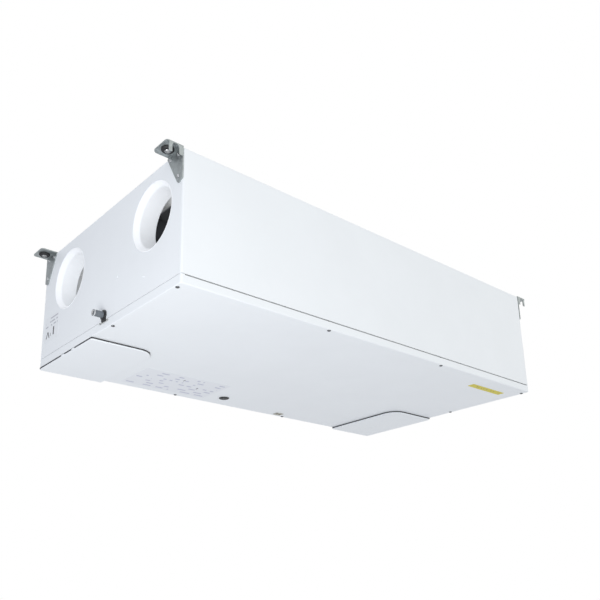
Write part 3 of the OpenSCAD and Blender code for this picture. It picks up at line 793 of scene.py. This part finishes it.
for side, s in (("left", -1), ("right", 1)):
    def lip(inset, r):
        radii = [2 * MM, r, 2 * MM, 2 * MM]
        points = rounded_outline(-END_X + inset, HATCH_X - inset, HATCH_Y + inset,
                                 SIDE_Y - abs(inset), radii, 10)
        return [(s * -x, y) for x, y in (points if s < 0 else reversed(points))]

    # a dark strip in the gap round each hatch, in the gasket material, is painted shadow of the gap
    gasket = plate(f"hatch_gap_shadow_{side}", lip(-GAP_SHADOW_PROUD, 40 * MM + GAP_SHADOW_PROUD),
                   [lip(6 * MM, 34 * MM)],
                   COVER - 3.4 * MM, COVER - 0.1 * MM, 0.4 * MM, mat["gasket"],
                   f"filter_hatch_{side}", steps=2)

heads = [screw_head((x, y, COVER), (0, 0, -1), 4 * MM, 1.6 * MM, mat["screw_steel"],
                    "service_cover") for x, y in screw_places]
shanks = [lathe("shank", [(0, 0), (1.9 * MM, 0), (1.9 * MM, 19 * MM), (1.2 * MM, 21 * MM),
                          (0, 21 * MM)], (x, y, COVER), (0, 0, 1), mat["screw_steel"],
                "service_cover", 20, closed=False) for x, y in screw_places]
stands_for(join("cover_screw_set", heads + shanks), "cover_screws")

flange = (plug_high.x - plug_low.x) / 2
profile = ([(0, 15.2 * MM), (9.4 * MM, 15.2 * MM), (10.6 * MM, 14 * MM), (11 * MM, 12 * MM),
            (11.3 * MM, 5 * MM), (11 * MM, 2.2 * MM), (flange - 0.4 * MM, 2.1 * MM)]
           + arc(flange - 0.7 * MM, 1.4 * MM, 0.7 * MM, 60, -50, 4)
           + [(flange - 2 * MM, 0.35 * MM), (10 * MM, 0.05 * MM), (8.8 * MM, 0.5 * MM),
              (7.8 * MM, 0.7 * MM), (0, 0.75 * MM)])
plug = lathe("round_plug", profile, (*plug_at, plug_low.z), (0, 0, 1), mat["plug"],
             "cover_plug", 72, closed=False)
stands_for(plug, "cover_plug")


# ---------------------------------------------------------------- labels and clip

def sheet_piece(name, x0, x1, y0, y1, z0, z1, r, material, body="service_cover"):
    return plate(name, rounded_outline(x0, x1, y0, y1, [r] * 4, 4), [], z0, z1, 0.08 * MM,
                 material, body, steps=1)


paper = printed("info_label", (0.80, 0.83, 0.87), (0.52, 0.54, 0.66), 17 * MM, 24 * MM, 0.46,
                ((0, -352 * MM, -122 * MM), (1, 152 * MM, 268 * MM)),
                [("bar", -236 * MM, 176 * MM, 5 * MM), ("bar", -172 * MM, 214 * MM, 5 * MM)])
info = sheet_piece("info_label", -360 * MM, -112 * MM, 145 * MM, 275 * MM, COVER - 0.3 * MM,
                   COVER, 3 * MM, paper)
strip_look = printed("notice_strip", (0.66, 0.57, 0.01), (0.12, 0.105, 0.01), 14 * MM, 6 * MM, 0.46,
                     ((0, 382 * MM, 507 * MM), (1, -250 * MM, -236 * MM)))
strip = sheet_piece("notice_strip", 376 * MM, 513 * MM, -253 * MM, -233 * MM,
                    COVER - 0.3 * MM, COVER, 1.5 * MM, strip_look)
slots = [rounded_outline(x - 2.6 * MM, x + 2.6 * MM, 272 * MM, 283.5 * MM, [1.2 * MM] * 4, 4)
         for x in (153.5 * MM, 164.5 * MM)]
clip = plate("edge_clip", rounded_outline(146 * MM, 172 * MM, 268 * MM, 288 * MM,
                                          [2.5 * MM] * 4, 5),
             slots, COVER - 1.2 * MM, COVER - 0.3 * MM, 0.3 * MM, mat["beige"], "service_cover")
clip_back = sheet_piece("clip_back", 147 * MM, 171 * MM, 269 * MM, 287 * MM, COVER - 0.35 * MM,
                        COVER, 2 * MM, mat["dark_plastic"])
stands_for(info, "cover_labels")

low, high = cad["end_label"]
plate_look = printed("end_label", (0.82, 0.85, 0.88), (0.5, 0.52, 0.57), 9 * MM, 14 * MM, 0.5,
                     ((1, 216 * MM, 280 * MM), (2, -196 * MM, -171 * MM)),
                     [("angle", 266 * MM, -213 * MM, 8 * MM),
                      ("bar", 236 * MM, -209 * MM, 10 * MM), ("bar", 252 * MM, -215 * MM, 4 * MM)])
tag = plate("side_label", rounded_outline(low.y, high.y, low.z, high.z, [2 * MM] * 4, 4), [],
            0, 0.3 * MM, 0.08 * MM, plate_look, "casing",
            lambda p, t: Vector((-END_X - 0.3 * MM + t, p[0], p[1])), steps=1)
stands_for(tag, "end_label")


# ---------------------------------------------------------------- drain and glands

low, high = cad["drain_spigot"]
tail = high.x - low.x
r, bore = 7 * MM, 5 * MM
profile = ([(bore, tail), (bore, 3 * MM), (bore + 0.3 * MM, 0.4 * MM)]
           + arc(r - 0.9 * MM, 0.9 * MM, 0.9 * MM, 250, 350, 5)
           + [(r, 5 * MM), (r - 0.5 * MM, 5.4 * MM), (r - 0.5 * MM, 7 * MM), (r, 7.4 * MM),
              (r, 21.5 * MM), (r - 0.4 * MM, 21.9 * MM), (r - 0.4 * MM, tail)])
spigot = lathe("drain_tube", profile, (low.x, drain[1], drain[2]), (1, 0, 0),
               mat["drain_plastic"], "casing", 64)
stands_for(spigot, "drain_spigot")
tip = lathe("drain_tip_ring", [(bore - 0.1 * MM, 2.6 * MM), (bore - 0.1 * MM, 0.1 * MM),
                               (bore + 0.4 * MM, -0.05 * MM), (r - 0.4 * MM, 0.2 * MM),
                               (r + 0.05 * MM, 0.9 * MM), (r + 0.05 * MM, 3 * MM),
                               (r - 1 * MM, 3.2 * MM)],
            (low.x + 0.1 * MM, drain[1], drain[2]), (1, 0, 0), mat["guide_plastic"], "casing", 64)
low, high = cad["drain_nut"]
profile = ([(6.7 * MM, 3.9 * MM), (6.7 * MM, 0.5 * MM), (7.2 * MM, 0)]
           + arc(10.2 * MM, 0.8 * MM, 0.8 * MM, 270, 360, 4)
           + [(11 * MM, 2.6 * MM), (10.4 * MM, 3 * MM), (10.4 * MM, 3.9 * MM)])
ring = lathe("drain_flange", profile, (low.x, drain[1], drain[2]), (1, 0, 0),
             mat["tray_plastic"], "casing", 64)
# the black foot below the drain flange, over the notch in the cover rim, is painted shade of the
# notch
foot = [(drain[1] - 9 * MM, drain[2] - 4 * MM), (drain[1] - 9 * MM, low.z + 1 * MM),
        (drain[1] - 8 * MM, low.z), (drain[1] + 6 * MM, low.z), (drain[1] + 7 * MM, low.z + 1 * MM),
        (drain[1] + 7 * MM, drain[2] - 4 * MM), (drain[1], drain[2] - 7.4 * MM)]
tab = plate("foot", foot, [], 0, 2.7 * MM, 0.3 * MM, mat["tray_plastic"], "casing",
            lambda p, t: Vector((-END_X - 2.9 * MM + t, p[0], p[1])))
nut = join("drain_flange", [ring, tab])
stands_for(nut, "drain_nut")

parts = []
for g in glands:
    hexagon = [(g[1] + 13.8 * MM * math.cos(math.radians(60 * k)),
                g[2] + 13.8 * MM * math.sin(math.radians(60 * k))) for k in range(6)]
    parts.append(plate("hex", hexagon, [circle_outline(g[1], g[2], 9.9 * MM, 48)], 0, 5.9 * MM,
                       0.6 * MM, mat["gland_plastic"], "casing",
                       lambda p, t: Vector((END_X + 0.1 * MM + t, p[0], p[1]))))
    inner = cad["cable_glands"][0].x
    run = END_X + 19 * MM - inner
    profile = [(4.5 * MM, 0), (10 * MM, 0), (10 * MM, run - 14 * MM), (11 * MM, run - 13.6 * MM)]
    for k in range(5):
        x = run - 12.6 * MM + k * 1.9 * MM
        profile += [(11 * MM, x), (10.7 * MM, x + 0.5 * MM), (11 * MM, x + 1 * MM)]
    profile += arc(8.6 * MM, run - 2.4 * MM, 2.4 * MM, 0, 80, 5)
    profile += [(6.4 * MM, run), (5.4 * MM, run - 0.9 * MM), (4.5 * MM, run - 1.2 * MM)]
    parts.append(lathe("nut", profile, (inner, g[1], g[2]), (1, 0, 0), mat["gland_plastic"],
                       "casing", 64))
stands_for(join("gland_pair", parts), "cable_glands")


# ---------------------------------------------------------------- filters

def pleated_filter(name, body):
    """Card frame round a zigzag of fleece with rounded folds, and a pull tab at its foot."""
    low, high = cad[name]
    thick = high.x - low.x
    rail = 9 * MM
    y0, y1, z0, z1 = low.y, high.y, low.z, high.z
    middle = (low.x + high.x) / 2

    def across(p, t):
        return Vector((low.x + t, p[0], p[1]))

    rim = plate(name + "_frame", rounded_outline(y0, y1, z0, z1, [2 * MM] * 4, 3),
                [rounded_outline(y0 + rail, y1 - rail, z0 + rail, z1 - rail, [1.5 * MM] * 4, 3)],
                0, thick, 0.8 * MM, mat["guide_plastic"], body, across)
    bm = bmesh.new()
    pleats, per, rows = 13, 14, 36
    depth = thick * 0.36
    n = pleats * per
    faces = []
    for front in (1, -1):
        grid = []
        for i in range(n + 1):
            u = i / per
            phase = 2 * math.pi * u / 2
            wave = math.sin(phase)
            wave = math.copysign(abs(wave) ** 0.82, wave)
            y = y0 + rail - 1.5 * MM + (y1 - y0 - 2 * rail + 3 * MM) * i / n
            column = []
            for k in range(rows + 1):
                v = k / rows
                sway = (math.sin(7.1 * v + 1.7 * math.floor(u)) * 0.35
                        + math.sin(17.0 * v + 2.9 * math.floor(u)) * 0.18) * MM
                x = middle + depth * wave + sway * 0.6 + front * 0.9 * MM
                z = z0 + rail - 1.5 * MM + (z1 - z0 - 2 * rail + 3 * MM) * v
                column.append(bm.verts.new((x, y + sway * 0.5, z)))
            grid.append(column)
        faces.append(grid)
        for a, b in zip(grid, grid[1:]):
            for k in range(rows):
                bm.faces.new((a[k], b[k], b[k + 1], a[k + 1]))
    first, second = faces
    for i in range(n):
        for k in (0, rows):
            bm.faces.new((first[i][k], first[i + 1][k], second[i + 1][k], second[i][k]))
    for k in range(rows):
        for i in (0, n):
            bm.faces.new((first[i][k], first[i][k + 1], second[i][k + 1], second[i][k]))
    media = finish_mesh(name + "_media", bm, mat["filter"], body, 60)
    bm = bmesh.new()
    wide = 11 * MM
    centre = (y0 + y1) / 2
    loop = [(-7, 0.3), (-7.6, -1.6), (-6.4, -3.2), (-3, -4.2), (0, -4.4), (3, -4.2), (6.4, -3.2),
            (7.6, -1.6), (7, 0.3)]
    strips = []
    for grow in (0, 0.55):
        strips.append([[bm.verts.new((middle + x * (1 + grow * 0.09) * MM, centre + w * wide,
                                      z0 + (z * (1 + grow * 0.16)) * MM)) for x, z in loop]
                       for w in (-1, 0, 1)])
    for rows_of in strips:
        for a, b in zip(rows_of, rows_of[1:]):
            for k in range(len(loop) - 1):
                bm.faces.new((a[k], a[k + 1], b[k + 1], b[k]))
    inner, outer = strips
    for w in (0, 2):
        for k in range(len(loop) - 1):
            bm.faces.new((inner[w][k], inner[w][k + 1], outer[w][k + 1], outer[w][k]))
    for k in (0, len(loop) - 1):
        for w in (0, 1):
            bm.faces.new((inner[w][k], inner[w + 1][k], outer[w + 1][k], outer[w][k]))
    tab = finish_mesh(name + "_tab", bm, mat["cable_sheath"], body, 60)
    stands_for(media, name)


for side in ("left", "right"):
    pleated_filter(f"filter_{side}", f"filter_{side}")


# ---------------------------------------------------------------- cable inside

def tube(name, path, radius, material, body, per=10, around=20):
    """Round cable along a smooth curve through the points of path."""
    points = []
    ends = [path[0]] + list(path) + [path[-1]]
    for a, b, c, d in zip(ends, ends[1:], ends[2:], ends[3:]):
        for k in range(per):
            t = k / per
            points.append(0.5 * ((2 * b) + (c - a) * t + (2 * a - 5 * b + 4 * c - d) * t * t
                                 + (3 * b - a - 3 * c + d) * t ** 3))
    points.append(path[-1])
    bm = bmesh.new()
    side = (points[1] - points[0]).orthogonal().normalized()
    rings = []
    for i, p in enumerate(points):
        along = (points[min(i + 1, len(points) - 1)] - points[max(i - 1, 0)]).normalized()
        side = (side - along * side.dot(along)).normalized()
        other = along.cross(side)
        rings.append([bm.verts.new(p + (side * math.cos(t) + other * math.sin(t)) * radius)
                      for t in [2 * math.pi * k / around for k in range(around)]])
    for low, high in zip(rings, rings[1:]):
        bridge(bm, low, high)
    bm.faces.new(rings[0])
    bm.faces.new(rings[-1])
    return finish_mesh(name, bm, material, body, 50)


low, high = cad["cable_loom"]
y_gland, y_box, z = glands[0][1], cad["control_box"][0].y + 20 * MM, glands[0][2]
lead = tube("fan_lead", [Vector((high.x, y_gland, z)), Vector((400 * MM, y_gland, z)),
                         Vector((330 * MM, y_gland - 1 * MM, z)),
                         Vector((296 * MM, y_gland - 14 * MM, z)),
                         Vector((281 * MM, (y_gland + y_box) / 2, z)),
                         Vector((266 * MM, y_box + 14 * MM, z)),
                         Vector((234 * MM, y_box + 1 * MM, z)), Vector((180 * MM, y_box, z)),
                         Vector((low.x, y_box, z))],
            4 * MM, mat["cable_sheath"], "casing")
stands_for(lead, "cable_loom")


# ---------------------------------------------------------------- carried-over nodes

rounds = {"foam": 1.5, "socket_foam": 1.0, "dark_plastic": 0.8, "tray_plastic": 0.8,
          "fan_plastic": 0.4, "motor_metal": 0.8, "actuator_plastic": 1.2, "bush_plastic": 0.4,
          "board": 0.2, "terminal": 0.5, "guide_plastic": 0.8, "zinc": 0.3, "gasket": 0.5,
          "exchanger_film": 0.3}
for part in frame["record"]["subparts"]:
    node = nodes[part["node"]]
    node.data.materials.clear()
    node.data.materials.append(mat.get(part["material_slot"], mat["white_paint"]))
    if node.hide_render or node.modifiers:
        continue
    node.modifiers.new("weld", "WELD").merge_threshold = 1e-6
    soften(node, rounds.get(part["material_slot"], 0.3) * MM, 2)


# ---------------------------------------------------------------- studio

def floor(level):
    bm = bmesh.new()
    n, size = 24, 6.0
    grid = [[bm.verts.new((-size + 2 * size * i / n, -size + 2 * size * j / n, level))
             for j in range(n + 1)] for i in range(n + 1)]
    for i in range(n):
        for j in range(n):
            bm.faces.new((grid[i][j], grid[i + 1][j], grid[i + 1][j + 1], grid[i][j + 1]))
    mesh = bpy.data.meshes.new("floor")
    bm.to_mesh(mesh)
    bm.free()
    ground = bpy.data.objects.new("floor", mesh)
    bpy.context.scene.collection.objects.link(ground)
    pale = material("pale_floor", (0.9, 0.9, 0.9), 0.9, specular=0.0)
    pale.node_tree.nodes["Principled BSDF"].inputs["Emission Color"].default_value = (1, 1, 1, 1)
    pale.node_tree.nodes["Principled BSDF"].inputs["Emission Strength"].default_value = 0.6
    mesh.materials.append(pale)
    ground.visible_diffuse = ground.visible_glossy = False


def area_light(name, place, aim, size, power):
    """A soft rectangular lamp that the camera does not see."""
    lamp = bpy.data.lights.new(name, "AREA")
    lamp.shape = "RECTANGLE"
    lamp.size, lamp.size_y = size
    lamp.energy = power
    obj = bpy.data.objects.new(name, lamp)
    bpy.context.scene.collection.objects.link(obj)
    obj.location = place
    obj.rotation_euler = (Vector(aim) - Vector(place)).to_track_quat("-Z", "Y").to_euler()
    obj.visible_camera = False


floor(-1.9)
world = bpy.data.worlds.new("studio")
bpy.context.scene.world = world
world.use_nodes = True
tree = world.node_tree
back = tree.nodes["Background"]
back.inputs["Color"].default_value = (1, 1, 1, 1)
# The camera sees plain white; the object gets soft light, stronger from one side and cooler
# where it is weaker
direction = tree.nodes.new("ShaderNodeTexCoord").outputs["Generated"]
parts = tree.nodes.new("ShaderNodeVectorMath")
parts.operation = "DOT_PRODUCT"
parts.inputs[1].default_value = (0.27, -0.12, 0.15)
tree.links.new(direction, parts.inputs[0])
total = tree.nodes.new("ShaderNodeMath")
total.inputs[1].default_value = 0.80
tree.links.new(parts.outputs["Value"], total.inputs[0])
tint = tree.nodes.new("ShaderNodeMix")
tint.data_type = "RGBA"
tint.inputs[6].default_value = (0.87, 0.92, 1.1, 1)
tint.inputs[7].default_value = (1.0, 1.0, 0.985, 1)
tree.links.new(total.outputs[0], tint.inputs[0])
soft = tree.nodes.new("ShaderNodeBackground")
tree.links.new(tint.outputs[2], soft.inputs["Color"])
tree.links.new(total.outputs[0], soft.inputs["Strength"])
choose = tree.nodes.new("ShaderNodeMixShader")
tree.links.new(tree.nodes.new("ShaderNodeLightPath").outputs["Is Camera Ray"], choose.inputs[0])
tree.links.new(soft.outputs[0], choose.inputs[1])
tree.links.new(back.outputs[0], choose.inputs[2])
tree.links.new(choose.outputs[0], tree.nodes["World Output"].inputs["Surface"])

area_light("softbox", (-1.6, -0.86, -1.2), (-0.5, -0.15, -0.2), (0.7, 0.7), 15.5)

camera = bpy.data.cameras.new("camera")
eye = bpy.data.objects.new("camera", camera)
bpy.context.scene.collection.objects.link(eye)
bpy.context.scene.camera = eye
CAMERA_AT = (-1.2368, -1.3485, -0.8661)
heading, tilt, roll = (math.radians(a) for a in (40.97, 16.98, -1.14))
forward = Vector((math.sin(heading) * math.cos(tilt), math.cos(heading) * math.cos(tilt),
                  math.sin(tilt)))
level = Vector((math.cos(heading), -math.sin(heading), 0))
above = level.cross(forward)
right = level * math.cos(roll) + above * math.sin(roll)
up = above * math.cos(roll) - level * math.sin(roll)
eye.matrix_world = Matrix((
    (right.x, up.x, -forward.x, CAMERA_AT[0]),
    (right.y, up.y, -forward.y, CAMERA_AT[1]),
    (right.z, up.z, -forward.z, CAMERA_AT[2]),
    (0, 0, 0, 1)))
camera.sensor_width = 36
camera.lens = 45.47
camera.shift_x, camera.shift_y = 0.03, 0.15
camera.clip_start, camera.clip_end = 0.05, 50

settings = bpy.context.scene.view_settings
settings.view_transform = "Standard"
settings.look = "None"
settings.exposure = 0.0
